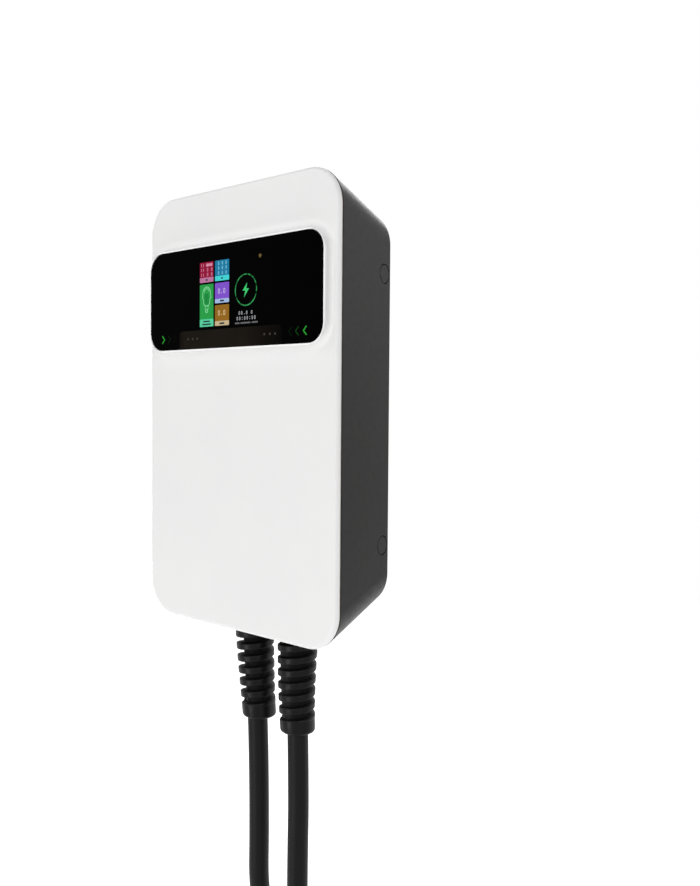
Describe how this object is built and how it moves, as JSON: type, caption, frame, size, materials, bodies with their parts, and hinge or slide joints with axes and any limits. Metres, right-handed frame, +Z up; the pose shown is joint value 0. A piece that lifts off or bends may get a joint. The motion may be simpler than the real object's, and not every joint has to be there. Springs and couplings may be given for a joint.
{
  "type": "ev wallbox",
  "caption": "Wall-mounted charging box for electric cars with a display window, bolted wall plate, spiral cable glands, supply lead and coiled charging cable with its plug.",
  "frame": {"origin": "centre of the four wall-plate holes, in the plane of the wall", "axes": "+Z up, the display faces -Y, +Y points into the wall, +X to the right seen from the front"},
  "size_m": [0.3039, 0.0888, 1.0957],
  "materials": {
    "white_shell": "satin white moulded plastic",
    "black_shell": "fine textured black moulded plastic",
    "black_window": "gloss black display window",
    "seal_rubber": "brown-black foam rubber",
    "plate_paint": "black textured powder coat on steel",
    "steel": "zinc plated steel",
    "nylon": "black nylon",
    "cable_jacket": "matt black cable jacket",
    "core_colours": "coloured core insulation",
    "circuit_board": "green solder resist",
    "black_board": "black solder resist",
    "relay_case": "black relay case",
    "sensor_case": "blue sensor case",
    "copper": "bare copper",
    "grey_case": "grey potted case",
    "can_aluminium": "aluminium can",
    "terminal_grey": "grey polyamide",
    "ceramic": "white ceramic",
    "lamp": "green lamp",
    "ribbon": "grey ribbon cable",
    "tie_band": "black hook and loop band",
    "screen": "lit display panel"
  },
  "bodies": {
    "root": {"front_cover": "white_shell", "front_seal": "seal_rubber", "display_window": "black_window", "lcd_module": "screen", "display_board": "black_board", "indicator_leds": "lamp", "light_shrouds": "nylon", "light_sensor": "black_window", "display_screws": "steel", "rear_housing": "black_shell", "cover_screws": "steel", "wall_plate": "plate_paint", "side_screws": "steel", "side_plugs": "black_shell", "main_board": "circuit_board", "board_screws": "steel", "power_relays": "relay_case", "fault_sensor": "sensor_case", "current_bars": "copper", "power_module": "grey_case", "capacitors": "can_aluminium", "fuses": "ceramic", "processor_card": "circuit_board", "radio_module": "can_aluminium", "buzzer": "nylon", "display_ribbon": "ribbon", "supply_cores": "core_colours", "supply_ferrules": "steel", "output_coil": "cable_jacket", "coil_ties": "tie_band", "plug_relief": "nylon", "plug_grip": "nylon", "plug_face": "nylon", "plug_contacts": "steel", "supply_cable": "cable_jacket", "output_cable": "cable_jacket", "supply_gland_washer": "seal_rubber", "supply_gland_body": "nylon", "supply_gland_nut": "nylon", "supply_gland_seal": "seal_rubber", "supply_bend_relief": "nylon", "supply_cable_entry": "cable_jacket", "supply_inner_cores": "core_colours", "supply_terminal_block": "terminal_grey", "supply_terminal_screws": "steel", "output_gland_washer": "seal_rubber", "output_gland_body": "nylon", "output_gland_nut": "nylon", "output_gland_seal": "seal_rubber", "output_bend_relief": "nylon", "output_cable_entry": "cable_jacket", "output_inner_cores": "core_colours", "output_terminal_block": "terminal_grey", "output_terminal_screws": "steel"}
  },
  "joints": []
}
